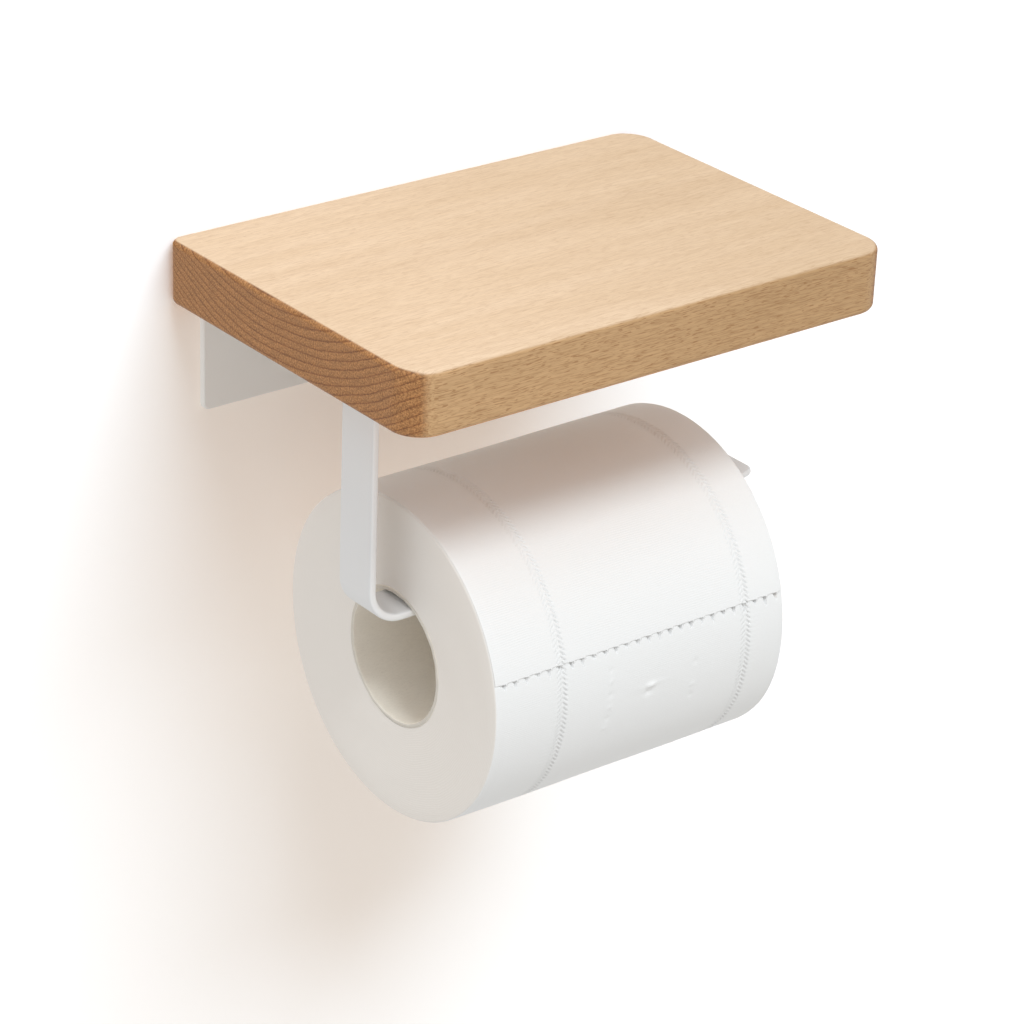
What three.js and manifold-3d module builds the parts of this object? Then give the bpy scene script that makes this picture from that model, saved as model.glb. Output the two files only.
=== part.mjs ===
// Wall-mounted toilet paper holder: a solid wood shelf on a folded steel wall bracket, with a
// bent steel strip under it that carries a paper roll.
// Millimetres. +X points right for someone facing the wall, +Y into the wall, +Z up.
// The origin is the centre of the wall bracket's back face, in the plane of the wall.
import * as THREE from "three";
import { mergeVertices } from "three/addons/utils/BufferGeometryUtils.js";
import Module from "manifold-3d";

const wasm = await Module();
wasm.setup();

// ---- driving dimensions ----

const GAP = 0.3; // clearance left between pieces that touch or fit in one another
const OVERRUN = 1; // how far a cutting body runs past the face it cuts

const SHELF = { width: 175, depth: 120, thick: 20, edgeRound: 1.8 };
// Seen from above: back right, back left, front left and front right.
const SHELF_CORNER_RADII = [10, 4, 10, 10];

const STEEL = 2.5; // sheet thickness of the bracket and the arm
const BRACKET = { width: 153, height: 37, flangeDepth: 48, bendRadius: 4, cornerRadius: 2 };

const ARM = {
  width: 16,
  leftX: -64.5, // outer face of the drop
  centreY: -63.5, // the strip's middle, 63.5 mm out from the wall
  bottomZ: -66, // underside of the level run
  bendRadius: 12, // outer radius of the two right-angle bends
  footEndX: -8,
  edgeRound: 0.7,
  tipX: 83.7,
  tipRise: 12, // how far the end stands above the level run
  tipSlope: 36, // degrees that the strip turns up past the core
  tipBendRadius: 9.5, // on the upper side of the strip
  lipSlope: 14, // the last few millimetres lie flatter
  lipBendRadius: 8, // on the underside of the strip
  lipLength: 7,
  tipCornerRadius: 2.5,
};

const ROLL = { leftX: -50.5, rightX: 59.5, outerRadius: 51.5, boreRadius: 20.9, coreWall: 1.3 };
const TAIL = { thick: 0.5, lift: GAP, edgeAngle: 14, sheetLength: 110, inset: 0.5 };

// Pan-head screws: head, shank under the head, and the hole that the shank passes.
const WOOD_SCREW = { headRadius: 3.75, headHeight: 2.4, shankRadius: 1.75, length: 16 };
const WALL_SCREW = { headRadius: 4.25, headHeight: 3, shankRadius: 2.1, length: 40 };
const HOLE_CLEARANCE = 0.5; // radial, in the steel
const PILOT_CLEARANCE = 0.3; // radial, in the wood
const RECESS = { slotLengthShare: 1.05, slotWidth: 0.9, depth: 1.4 }; // cross recess in a head

const BRACKET_SCREW_X = [-60, -20, 20, 60];
const BRACKET_SCREW_Y = -32;
const ARM_SCREW_X = [-40, -18];
const WALL_SCREW_X = [-50, 50];

// A plug is driven a little deeper than the wall's surface, so that the bracket lies flat.
const PLUG = { outerRadius: 4, rimRadius: 4.4, rimThick: 0.8, length: 32, tipRadius: 3.3, sink: 2.3 };

const ROUND_STEPS = 64; // facets round the roll
const SCREW_STEPS = 20;
const BEND_STEPS = 8;

// ---- heights and places worked out from those ----

const shelfUnderside = BRACKET.height / 2;
const flangeTop = shelfUnderside - GAP;
const flangeUnderside = flangeTop - STEEL;
const runTop = ARM.bottomZ + STEEL;
const halfWidth = ARM.width / 2;
// The core hangs with the top of its bore on the strip's two upper edges.
const rollAxisZ = runTop + GAP - Math.sqrt(ROLL.boreRadius ** 2 - halfWidth ** 2);

// ---- materials ----

const wood = new THREE.MeshStandardMaterial({ color: "#d2ab82", roughness: 0.6, metalness: 0 });
const coat = new THREE.MeshStandardMaterial({ color: "#dcdcdc", roughness: 0.45, metalness: 0 });
const zinc = new THREE.MeshStandardMaterial({ color: "#b9bcc0", roughness: 0.35, metalness: 1 });
const nylon = new THREE.MeshStandardMaterial({ color: "#c9ccd0", roughness: 0.55, metalness: 0 });
const card = new THREE.MeshStandardMaterial({ color: "#b9ad9b", roughness: 0.9, metalness: 0 });
const paper = new THREE.MeshStandardMaterial({ color: "#f1efec", roughness: 0.95, metalness: 0 });

// ---- helpers ----

function solidOf(geometry) {
  const bare = geometry.clone();
  bare.deleteAttribute("normal");
  bare.deleteAttribute("uv");
  const merged = mergeVertices(bare, 1e-4);
  return new wasm.Manifold(
    new wasm.Mesh({
      numProp: 3,
      vertProperties: merged.attributes.position.array,
      triVerts: new Uint32Array(merged.index.array),
    }),
  );
}

function geometryOf(solid) {
  const mesh = solid.getMesh();
  return new THREE.BufferGeometry()
    .setAttribute("position", new THREE.BufferAttribute(mesh.vertProperties, 3))
    .setIndex(new THREE.BufferAttribute(mesh.triVerts, 1));
}

function cutWith(geometry, cutters) {
  const left = cutters.reduce((solid, cutter) => solid.subtract(solidOf(cutter)), solidOf(geometry));
  return geometryOf(left);
}

function named(name, geometry, material) {
  const faceted = geometry.index ? geometry.toNonIndexed() : geometry;
  faceted.computeVertexNormals();
  const mesh = new THREE.Mesh(faceted, material);
  mesh.name = name;
  return mesh;
}

// A rectangle centred on (x, y). Its corners' radii go from the top right one anticlockwise.
function roundedRectangle(x, y, width, height, [topRight, topLeft, bottomLeft, bottomRight]) {
  const [right, top] = [x + width / 2, y + height / 2];
  const [left, bottom] = [x - width / 2, y - height / 2];
  const shape = new THREE.Shape();
  shape.absarc(right - topRight, top - topRight, topRight, 0, Math.PI / 2);
  shape.absarc(left + topLeft, top - topLeft, topLeft, Math.PI / 2, Math.PI);
  shape.absarc(left + bottomLeft, bottom + bottomLeft, bottomLeft, Math.PI, 1.5 * Math.PI);
  shape.absarc(right - bottomRight, bottom + bottomRight, bottomRight, 1.5 * Math.PI, 2 * Math.PI);
  return shape;
}

function sameCorners(radius) {
  return [radius, radius, radius, radius];
}

// An extrusion whose edges are rounded within its outline and its depth, from z = 0 to depth.
function softExtrusion(shape, depth, round, curveSegments, bevelSegments) {
  return new THREE.ExtrudeGeometry(shape, {
    depth: depth - 2 * round,
    steps: 1,
    curveSegments,
    bevelEnabled: true,
    bevelThickness: round,
    bevelSize: round,
    bevelOffset: -round,
    bevelSegments,
  }).translate(0, 0, round);
}

// The side view of a bent sheet: it starts at (x, y), heads along `heading` degrees, and takes
// the moves in turn. A bend's radius is the sheet's inner one, and its turn is positive to the left.
function bentSheet(start, heading, moves, thick) {
  const [left, right] = [[], []];
  let place = new THREE.Vector2(...start);
  let angle = THREE.MathUtils.degToRad(heading);
  const mark = () => {
    const side = new THREE.Vector2(-Math.sin(angle), Math.cos(angle)).multiplyScalar(thick / 2);
    left.push(place.clone().add(side));
    right.push(place.clone().sub(side));
  };
  mark();
  for (const move of moves) {
    if (move.length) {
      place.add(new THREE.Vector2(Math.cos(angle), Math.sin(angle)).multiplyScalar(move.length));
      mark();
      continue;
    }
    const turn = THREE.MathUtils.degToRad(move.turn);
    const middleRadius = (move.radius + thick / 2) * Math.sign(turn);
    const centre = place
      .clone()
      .add(new THREE.Vector2(-Math.sin(angle), Math.cos(angle)).multiplyScalar(middleRadius));
    const entry = angle;
    for (let step = 1; step <= BEND_STEPS; step += 1) {
      angle = entry + (turn * step) / BEND_STEPS;
      place = centre
        .clone()
        .add(new THREE.Vector2(Math.sin(angle), -Math.cos(angle)).multiplyScalar(middleRadius));
      mark();
    }
  }
  return new THREE.Shape([...right, ...left.reverse()]);
}

// A body of revolution about +Z from a closed list of [radius, z] points.
function turned(points, steps) {
  const profile = points.map(([radius, z]) => new THREE.Vector2(radius, z));
  return new THREE.LatheGeometry(profile, steps).rotateX(Math.PI / 2);
}

// A tube along +Z, from low to high.
function tube(innerRadius, outerRadius, low, high, steps) {
  const [a, b] = [innerRadius, outerRadius];
  return turned([[a, low], [b, low], [b, high], [a, high], [a, low]], steps);
}

// A plain rod along +Z for drilling.
function rod(radius, low, high) {
  const geometry = new THREE.CylinderGeometry(radius, radius, high - low, SCREW_STEPS);
  return geometry.rotateX(Math.PI / 2).translate(0, 0, (low + high) / 2);
}

// A pan-head screw with a cross recess: the shank points along +Z from the seat at z = 0.
function screw({ headRadius, headHeight, shankRadius, length }) {
  const point = 2 * shankRadius;
  const body = turned(
    [
      [0, -headHeight],
      [headRadius * 0.55, -headHeight],
      [headRadius * 0.9, -headHeight * 0.7],
      [headRadius, -headHeight * 0.3],
      [headRadius, 0],
      [shankRadius, 0],
      [shankRadius, length - point],
      [0, length],
    ],
    SCREW_STEPS,
  );
  const { slotLengthShare, slotWidth, depth } = RECESS;
  const slotLength = headRadius * slotLengthShare;
  const slots = [0, Math.PI / 2].map((turn) =>
    new THREE.BoxGeometry(slotLength, slotWidth, depth * 2)
      .rotateZ(turn)
      .translate(0, 0, -headHeight),
  );
  return cutWith(body, slots);
}

// ---- the pieces ----

function makeShelf() {
  const { width, depth, thick, edgeRound } = SHELF;
  const outline = roundedRectangle(0, -depth / 2, width, depth, SHELF_CORNER_RADII);
  const board = softExtrusion(outline, thick, edgeRound, 6, 3).translate(0, 0, shelfUnderside);
  const pilotEnd = flangeUnderside - GAP + WOOD_SCREW.length + PILOT_CLEARANCE * 2;
  const pilots = [
    ...BRACKET_SCREW_X.map((x) => [x, BRACKET_SCREW_Y]),
    ...ARM_SCREW_X.map((x) => [x, ARM.centreY]),
  ].map(([x, y]) =>
    rod(WOOD_SCREW.shankRadius + PILOT_CLEARANCE, shelfUnderside - OVERRUN, pilotEnd).translate(x, y, 0),
  );
  return named("shelf", cutWith(board, pilots), wood);
}

// An L of sheet steel: the wall flange hangs below the shelf, the other one lies under it.
function makeWallBracket() {
  const { width, height, flangeDepth, bendRadius, cornerRadius } = BRACKET;
  const innerRadius = bendRadius - STEEL;
  const wallFlange = height - GAP - bendRadius;
  const side = bentSheet(
    [-STEEL / 2, -height / 2],
    90,
    [{ length: wallFlange }, { radius: innerRadius, turn: 90 }, { length: flangeDepth - bendRadius }],
    STEEL,
  );
  // The side view is drawn in (Y, Z) and extruded along X.
  const sheet = new THREE.ExtrudeGeometry(side, { depth: width, bevelEnabled: false })
    .rotateX(Math.PI / 2)
    .rotateZ(Math.PI / 2)
    .translate(-width / 2, 0, 0);
  // Two outlines round the free corners: one seen from the front, one seen from above.
  const front = new THREE.ExtrudeGeometry(
    roundedRectangle(0, height, width, 3 * height, sameCorners(cornerRadius)),
    { depth: 3 * flangeDepth, bevelEnabled: false, curveSegments: 4 },
  ).rotateX(Math.PI / 2).translate(0, flangeDepth, 0);
  const above = new THREE.ExtrudeGeometry(
    roundedRectangle(0, 0, width, 2 * flangeDepth, sameCorners(cornerRadius)),
    { depth: 2 * height, bevelEnabled: false, curveSegments: 4 },
  ).translate(0, 0, -height);
  const trimmed = solidOf(sheet).intersect(solidOf(front)).intersect(solidOf(above));
  const wallHoles = WALL_SCREW_X.map((x) =>
    rod(WALL_SCREW.shankRadius + HOLE_CLEARANCE, -STEEL - OVERRUN, OVERRUN)
      .rotateX(-Math.PI / 2)
      .translate(x, 0, 0),
  );
  const shelfHoles = BRACKET_SCREW_X.map((x) =>
    rod(WOOD_SCREW.shankRadius + HOLE_CLEARANCE, flangeUnderside - OVERRUN, shelfUnderside)
      .translate(x, BRACKET_SCREW_Y, 0),
  );
  const geometry = cutWith(geometryOf(trimmed), [...wallHoles, ...shelfHoles]);
  return named("wall_bracket", geometry, coat);
}

// One strip: a foot under the shelf, a drop, a level run through the core, and a turned-up end.
function makeRollArm() {
  const { width, leftX, centreY, bottomZ, bendRadius, footEndX, edgeRound, tipX, tipRise } = ARM;
  const innerRadius = bendRadius - STEEL;
  // The turned-up end, along the strip's upper face: a bend up, a slope, a bend back, and a lip.
  const slope = THREE.MathUtils.degToRad(ARM.tipSlope);
  const lip = THREE.MathUtils.degToRad(ARM.lipSlope);
  const lipBendUpper = ARM.lipBendRadius + STEEL;
  const riseOfRest =
    ARM.tipBendRadius * (1 - Math.cos(slope)) +
    lipBendUpper * (Math.cos(lip) - Math.cos(slope)) +
    ARM.lipLength * Math.sin(lip);
  const slopeLength = (tipRise - riseOfRest) / Math.sin(slope);
  const bendStartX =
    tipX -
    ARM.tipBendRadius * Math.sin(slope) -
    slopeLength * Math.cos(slope) -
    lipBendUpper * (Math.sin(slope) - Math.sin(lip)) -
    ARM.lipLength * Math.cos(lip);
  const side = bentSheet(
    [footEndX, flangeTop - STEEL / 2],
    180,
    [
      { length: footEndX - leftX - bendRadius },
      { radius: innerRadius, turn: 90 },
      { length: flangeTop - bottomZ - 2 * bendRadius },
      { radius: innerRadius, turn: 90 },
      { length: bendStartX - leftX - bendRadius },
      { radius: ARM.tipBendRadius, turn: ARM.tipSlope },
      { length: slopeLength },
      { radius: ARM.lipBendRadius, turn: ARM.lipSlope - ARM.tipSlope },
      { length: ARM.lipLength },
    ],
    STEEL,
  );
  // The side view is drawn in (X, Z) and extruded along -Y.
  const strip = softExtrusion(side, width, edgeRound, 1, 2)
    .rotateX(Math.PI / 2)
    .translate(0, centreY + halfWidth, 0);
  // Seen from above, the strip's right end has rounded corners.
  const corners = sameCorners(ARM.tipCornerRadius);
  const plan = roundedRectangle(tipX - SHELF.width, centreY, 2 * SHELF.width, width, corners);
  const height = 2 * SHELF.width;
  const trim = new THREE.ExtrudeGeometry(plan, { depth: height, bevelEnabled: false, curveSegments: 6 })
    .translate(0, 0, -height / 2);
  const holes = ARM_SCREW_X.map((x) =>
    rod(WOOD_SCREW.shankRadius + HOLE_CLEARANCE, flangeUnderside - OVERRUN, shelfUnderside)
      .translate(x, centreY, 0),
  );
  const geometry = cutWith(geometryOf(solidOf(strip).intersect(solidOf(trim))), holes);
  return named("roll_arm", geometry, coat);
}

function makeWoodScrews() {
  const seat = flangeUnderside - GAP;
  const place = (name, x, y) => {
    const mesh = named(name, screw(WOOD_SCREW), zinc);
    mesh.position.set(x, y, seat);
    return mesh;
  };
  return [
    ...BRACKET_SCREW_X.map((x, i) => place(`bracket_screw_${i + 1}`, x, BRACKET_SCREW_Y)),
    ...ARM_SCREW_X.map((x, i) => place(`arm_screw_${i + 1}`, x, ARM.centreY)),
  ];
}

function makeWallFixings() {
  const { outerRadius, rimRadius, rimThick, length, tipRadius, sink } = PLUG;
  const boreRadius = WALL_SCREW.shankRadius + GAP;
  const plugProfile = [
    [boreRadius, 0],
    [rimRadius, 0],
    [rimRadius, rimThick],
    [outerRadius, rimThick],
    [outerRadius, length * 0.8],
    [tipRadius, length],
    [boreRadius, length],
    [boreRadius, 0],
  ];
  return WALL_SCREW_X.flatMap((x, i) => {
    const side = i === 0 ? "left" : "right";
    const wallScrew = named(`wall_screw_${side}`, screw(WALL_SCREW), zinc);
    wallScrew.rotation.x = -Math.PI / 2;
    wallScrew.position.set(x, -STEEL - GAP, 0);
    const plug = named(`wall_plug_${side}`, turned(plugProfile, SCREW_STEPS), nylon);
    plug.rotation.x = -Math.PI / 2;
    plug.position.set(x, sink, 0);
    return [wallScrew, plug];
  });
}

// The roll's own group sits on its axis, with X along it.
function makeRoll() {
  const { leftX, rightX, outerRadius, boreRadius, coreWall } = ROLL;
  const coreRadius = boreRadius + coreWall;
  const alongX = (geometry) => geometry.rotateY(Math.PI / 2);
  const core = alongX(tube(boreRadius, coreRadius, leftX + 1, rightX - 1, ROUND_STEPS));
  const wound = alongX(tube(coreRadius + GAP, outerRadius, leftX, rightX, ROUND_STEPS));
  const inner = outerRadius + TAIL.lift;
  const outer = inner + TAIL.thick;
  const start = THREE.MathUtils.degToRad(180 - TAIL.edgeAngle);
  const end = start - TAIL.sheetLength / outer;
  const sheet = new THREE.Shape();
  sheet.absarc(0, 0, outer, start, end, true);
  sheet.absarc(0, 0, inner, end, start, false);
  // Drawn in (Y, Z) and extruded along X.
  const tail = new THREE.ExtrudeGeometry(sheet, {
    depth: rightX - leftX - 2 * TAIL.inset,
    bevelEnabled: false,
    curveSegments: 24,
  })
    .rotateX(Math.PI / 2)
    .rotateZ(Math.PI / 2)
    .translate(leftX + TAIL.inset, 0, 0);
  const roll = new THREE.Group();
  roll.position.set(0, ARM.centreY, rollAxisZ);
  roll.add(
    named("cardboard_core", core, card),
    named("paper_roll", wound, paper),
    named("tail_sheet", tail, paper),
  );
  return roll;
}

const holder = new THREE.Group();
holder.add(
  makeShelf(),
  makeWallBracket(),
  makeRollArm(),
  ...makeWoodScrews(),
  ...makeWallFixings(),
  makeRoll(),
);

export default holder;
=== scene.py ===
"""The looks of a wall-mounted toilet paper holder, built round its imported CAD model.

Shapes are worked out in millimetres and turned to metres when a mesh is made.
Angles round the roll run from its top (0) over its front, which faces -Y.
"""

import math
import random

import bmesh
import bpy
import numpy as np
from mathutils import Matrix, Vector


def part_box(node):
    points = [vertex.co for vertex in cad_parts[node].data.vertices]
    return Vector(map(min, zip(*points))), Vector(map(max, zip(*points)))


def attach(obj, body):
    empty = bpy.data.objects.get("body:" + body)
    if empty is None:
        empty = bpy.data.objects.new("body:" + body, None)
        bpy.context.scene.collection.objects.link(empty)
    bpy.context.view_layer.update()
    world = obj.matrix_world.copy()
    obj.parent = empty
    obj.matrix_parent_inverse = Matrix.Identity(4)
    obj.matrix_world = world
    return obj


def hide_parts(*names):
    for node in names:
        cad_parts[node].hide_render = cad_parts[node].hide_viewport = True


MM = 0.001

# ---- camera and light ----

LOOK_AT = (-23.85, -85.21, -32.59)
VIEW_AZIMUTH, VIEW_ELEVATION, VIEW_ROLL = -38.853, 25.950, 2.295
VIEW_DISTANCE = 1030.18
LENS, SENSOR = 124.08, 36.0

# Each sun: towards the lamp, degrees that it covers (its softness), strength and colour.
KEY = ((-0.08, -0.505, 0.845), 16.0, 1.32, (0.89, 0.965, 1.0))
WALL_KEY = ((0.17, -0.33, 0.93), 56.0, 5.4, (0.60, 0.80, 1.0))  # for the wall only
SKY_LOW, SKY_HIGH = (0.56, 0.532, 0.50), (0.955, 0.96, 0.965)
SKY_LEFT = (0.85, 0.845, 0.84)
SKY_BEHIND_LOW = (0.66, 0.46, 0.28)  # what the wall in the shelf's shadow sends back
SKY_BEHIND_HIGH = (0.98, 0.97, 0.95)
WALL_BEHIND = 0.05  # clearance between the wall plane and the bracket
FLOOR_BELOW = 750.0

# ---- the holder ----

SHELF_CORNERS, SHELF_EDGE = (10.0, 10.0, 10.0, 4.0), 1.8  # front left, front right, back right, back left
PILOT_RADIUS, PILOT_DEPTH = 2.05, 13.2
STEEL = 2.5
BRACKET_BEND, BRACKET_CORNER, BRACKET_EDGE = 4.0, 2.0, 0.5
ARM_BEND, ARM_EDGE = 12.0, 1.0
TIP_SLOPE, TIP_BEND, TIP_CORNER = 36.0, 9.5, 2.5  # past the core the strip turns up
LIP_SLOPE, LIP_BEND, LIP_LENGTH = 14.0, 8.0, 7.0  # and its last few millimetres lie flatter
ARM_FOOT_CORNER = 1.2
SCREW_HOLE, WALL_HOLE = 2.25, 2.6
WOOD_THREAD_PITCH, WALL_THREAD_PITCH = 1.6, 2.0

# ---- colours ----

SIDE_TONES = ((0.580, 0.358, 0.176), (0.620, 0.384, 0.192))
# The top's tones are a lighter, paler copy of the sides': painted light and sheen on the faces that the
# light falls on.
LIT_TOP_TONES = ((0.745, 0.540, 0.358), (0.785, 0.580, 0.398))
# A painted warm tint on the board's underside, which warms the light it bounces onto the roll below.
UNDERSIDE_PAINTED_WARMTH = (1.18, 0.93, 0.66)
END_DARK, END_LIGHT, END_RAY = (0.26, 0.108, 0.030), (0.535, 0.252, 0.088), (0.62, 0.345, 0.150)
FLECK = (0.31, 0.135, 0.040)
PITH, FIRST_RING, RING_WIDTH = (-50.0, 155.0), 118.0, 2.6  # the pith's Y and Z, and radii from there
RIGHT_END_PAINTED_SHADE = (0.86, 0.85, 0.82)  # painted shade: the board is made a little darker towards its right end, where the light falls off
# The arm and the bracket wear the same white coat in two copies: the arm's is cooler, painted cool light,
# and the bracket's warmer, painted warm shade from under the shelf.
ARM_COOL_LIGHT_TONES = ((0.775, 0.785, 0.80), (0.805, 0.815, 0.83))
ARM_FRONT_PAINTED_LIGHT = (1.20, 1.19, 1.18)  # painted light: the coat is made lighter on the strip's narrow side, which faces the front
BRACKET_WARM_SHADE_TONES = ((0.80, 0.775, 0.745), (0.83, 0.805, 0.775))
CARD_TONES = ((0.87, 0.81, 0.715), (0.93, 0.875, 0.785))
CARD_RIM = (0.66, 0.625, 0.565)
TISSUE_TONES = ((0.855, 0.855, 0.855), (0.885, 0.887, 0.890))
TISSUE_END = (0.85, 0.815, 0.775)
WALL_TONES = ((1.06, 0.965, 0.89), (1.09, 0.995, 0.92))
FLOOR_TONES = ((0.585, 0.575, 0.56), (0.61, 0.60, 0.585))

# ---- the roll ----

CORE_WALL = 1.3
SHEET_PITCH = 110.0  # from one tear line to the next
TORN_EDGE_ANGLE = 76.0
BAND_FROM_ENDS = (24.5, 15.0)  # the two embossed bands, from the left end and from the right
BAND_HALF_WIDTH, BAND_PITCH, BAND_DEPTH = 2.0, 1.6, 0.44
BOND_PITCH, BOND_HALF_WIDTH = 4.15, 0.28  # the bridges between two sheets along a tear line
BOND_TABS = ((0.35, 0.09), (0.7, 0.25), (1.0, 0.42))  # over the torn gap: how far on, how far down
DENTS_REACH, MARKS_REACH = 4, 30  # how far past a tear line its dents and its pressed marks go
SHEET_THICKNESS = 0.2
SOFT_EDGE = 0.7  # radius of the soft edge between the roll's side and an end


# ---- mesh making ----

def box_mm(node):
    low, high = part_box(node)
    return np.array(low) / MM, np.array(high) / MM


def piece_from(name, points, faces, origin=(0, 0, 0), material=None):
    """A mesh object from points in millimetres, measured from origin."""
    mesh = bpy.data.meshes.new(name)
    mesh.from_pydata((np.asarray(points, float) * MM).tolist(), [], [list(f) for f in faces])
    piece = bpy.data.objects.new(name, mesh)
    piece.location = Vector(origin) * MM
    bpy.context.scene.collection.objects.link(piece)
    tidy(piece)
    if material:
        mesh.materials.append(material)
    return piece


def tidy(piece):
    """Merges the points that coincide, drops what they leave and turns the faces outwards."""
    work = bmesh.new()
    work.from_mesh(piece.data)
    bmesh.ops.remove_doubles(work, verts=work.verts, dist=1e-7)
    bmesh.ops.dissolve_degenerate(work, edges=work.edges, dist=1e-8)
    bmesh.ops.recalc_face_normals(work, faces=work.faces)
    work.to_mesh(piece.data)
    work.free()


def smooth(piece, sharp_above=35.0, weighted=True):
    piece.data.polygons.foreach_set("use_smooth", [True] * len(piece.data.polygons))
    piece.data.set_sharp_from_angle(angle=math.radians(sharp_above))
    if weighted:
        modifier = piece.modifiers.new("flat_faces_stay_flat", "WEIGHTED_NORMAL")
        modifier.keep_sharp = True


def grid_faces(rows, columns, wrap_rows=False, wrap_columns=False):
    """Quads over points that are numbered row by row."""
    row, column = np.meshgrid(
        np.arange(rows if wrap_rows else rows - 1),
        np.arange(columns if wrap_columns else columns - 1),
        indexing="ij",
    )
    below, beside = (row + 1) % rows, (column + 1) % columns
    corners = [(row, column), (row, beside), (below, beside), (below, column)]
    return np.stack([r * columns + c for r, c in corners], -1).reshape(-1, 4)


def subtract(piece, cutters):
    """Cuts the cutters out of the piece and removes them."""
    for cutter in cutters:
        modifier = piece.modifiers.new("cut", "BOOLEAN")
        modifier.object = cutter
        modifier.solver = "EXACT"
    bpy.context.view_layer.update()
    baked = bpy.data.meshes.new_from_object(
        piece.evaluated_get(bpy.context.evaluated_depsgraph_get())
    )
    piece.modifiers.clear()
    piece.data = baked
    for cutter in cutters:
        bpy.data.objects.remove(cutter)


def arc(centre_x, centre_y, radius, first, last, steps):
    """Points on an arc, from the first angle to the last, in degrees."""
    angles = np.radians(np.linspace(first, last, steps + 1))
    return [(centre_x + radius * math.cos(a), centre_y + radius * math.sin(a)) for a in angles]


def rounded_outline(low, high, corners, inset=0.0, steps=12):
    """A rectangle seen from above; corners are the radii at low left, low right, high right, high left."""
    (x0, y0), (x1, y1) = low, high
    radii = [max(corner, 1e-3) for corner in corners]
    centres = [
        (x0 + radii[0], y0 + radii[0]),
        (x1 - radii[1], y0 + radii[1]),
        (x1 - radii[2], y1 - radii[2]),
        (x0 + radii[3], y1 - radii[3]),
    ]
    points = []
    for i, ((x, y), radius) in enumerate(zip(centres, radii)):
        shrunk = max(radius - inset, 1e-4)
        pull = max(inset - radius, 0)  # a corner smaller than the inset moves in with the sides
        x += pull * (1 if i in (0, 3) else -1)
        y += pull * (1 if i in (0, 1) else -1)
        points += arc(x, y, shrunk, 180 + 90 * i, 270 + 90 * i, steps)
    return points


def slab(name, outline, low, high, edge, holes=(), hole_depth=None, edge_steps=5, hole_steps=28):
    """A plate with rounded edges. outline(inset) gives its border; holes are (x, y, radius).

    The holes go right through, or hole_depth up from the underside."""
    work = bmesh.new()
    quarter = [i / edge_steps * math.pi / 2 for i in range(edge_steps + 1)]
    levels = [(edge * (1 - math.sin(a)), low + edge * (1 - math.cos(a))) for a in quarter]
    levels += [(inset, high + low - z) for inset, z in reversed(levels)]

    def ring(points, z):
        made = [work.verts.new((x, y, z)) for x, y in points]
        edges = [work.edges.new((a, b)) for a, b in zip(made, made[1:] + made[:1])]
        return made, edges

    def wall(first, second):
        for a, b, c, d in zip(first, first[1:] + first[:1], second[1:] + second[:1], second):
            work.faces.new((a, b, c, d))

    rings = [ring(outline(inset), z) for inset, z in levels]
    for (first, _), (second, _) in zip(rings, rings[1:]):
        wall(first, second)
    bottom, top = list(rings[0][1]), list(rings[-1][1])
    for x, y, radius in holes:
        circle = arc(x, y, radius, 0, 360, hole_steps)[:-1]
        below, below_edges = ring(circle, low)
        above, above_edges = ring(circle, high if hole_depth is None else low + hole_depth)
        wall(below, above)
        bottom += below_edges
        if hole_depth is None:
            top += above_edges
        else:
            work.faces.new(above)
    for edges in (bottom, top):
        bmesh.ops.triangle_fill(work, edges=edges, use_beauty=True, use_dissolve=False)
    mesh = bpy.data.meshes.new(name)
    work.to_mesh(mesh)
    work.free()
    return mesh


def bend(mesh, moves, start, heading, place, thick):
    """Folds a flat blank, which lies along +X from 0, with its middle plane at Z = thick / 2.

    moves are the straight runs and bends of its middle line; a bend's radius is the middle line's.
    place(a, b, across) gives the point for a place (a, b) in the side view."""
    stations = []  # (distance, place, heading, curvature) at the start of each move
    distance, spot, angle = 0.0, np.array(start, float), math.radians(heading)
    for move in moves:
        if "length" in move:
            length, curvature = move["length"], 0.0
        else:
            turn = math.radians(move["turn"])
            length, curvature = abs(turn) * move["radius"], math.copysign(1 / move["radius"], turn)
        stations.append((distance, spot.copy(), angle, curvature))
        spot = along(spot, angle, curvature, length)
        angle += curvature * length
        distance += length
    stations.append((distance, spot, angle, 0.0))

    work = bmesh.new()
    work.from_mesh(mesh)
    for (first, _, _, curvature), (last, _, _, _) in zip(stations, stations[1:]):
        steps = max(1, round(abs(curvature) * (last - first) / math.radians(3.75)))
        for i in range(steps + 1):
            bmesh.ops.bisect_plane(
                work,
                geom=work.verts[:] + work.edges[:] + work.faces[:],
                plane_co=(first + (last - first) * i / steps, 0, 0),
                plane_no=(1, 0, 0),
                dist=1e-5,
            )
    points = []
    for vertex in work.verts:
        at, across, height = vertex.co
        index = max(i for i, s in enumerate(stations[:-1]) if s[0] <= at + 1e-6 or i == 0)
        begun, spot, angle, curvature = stations[index]
        middle = along(spot, angle, curvature, at - begun)
        facing = angle + curvature * (at - begun)
        lift = height - thick / 2
        side = middle + lift * np.array((-math.sin(facing), math.cos(facing)))
        points.append(place(side[0], side[1], across))
    faces = [[v.index for v in face.verts] for face in work.faces]
    work.free()
    return points, faces


def along(spot, angle, curvature, distance):
    if abs(curvature) < 1e-9:
        return spot + distance * np.array((math.cos(angle), math.sin(angle)))
    centre = spot + np.array((-math.sin(angle), math.cos(angle))) / curvature
    turned = angle + curvature * distance
    return centre + np.array((math.sin(turned), -math.cos(turned))) / curvature


# ---- materials ----

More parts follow.
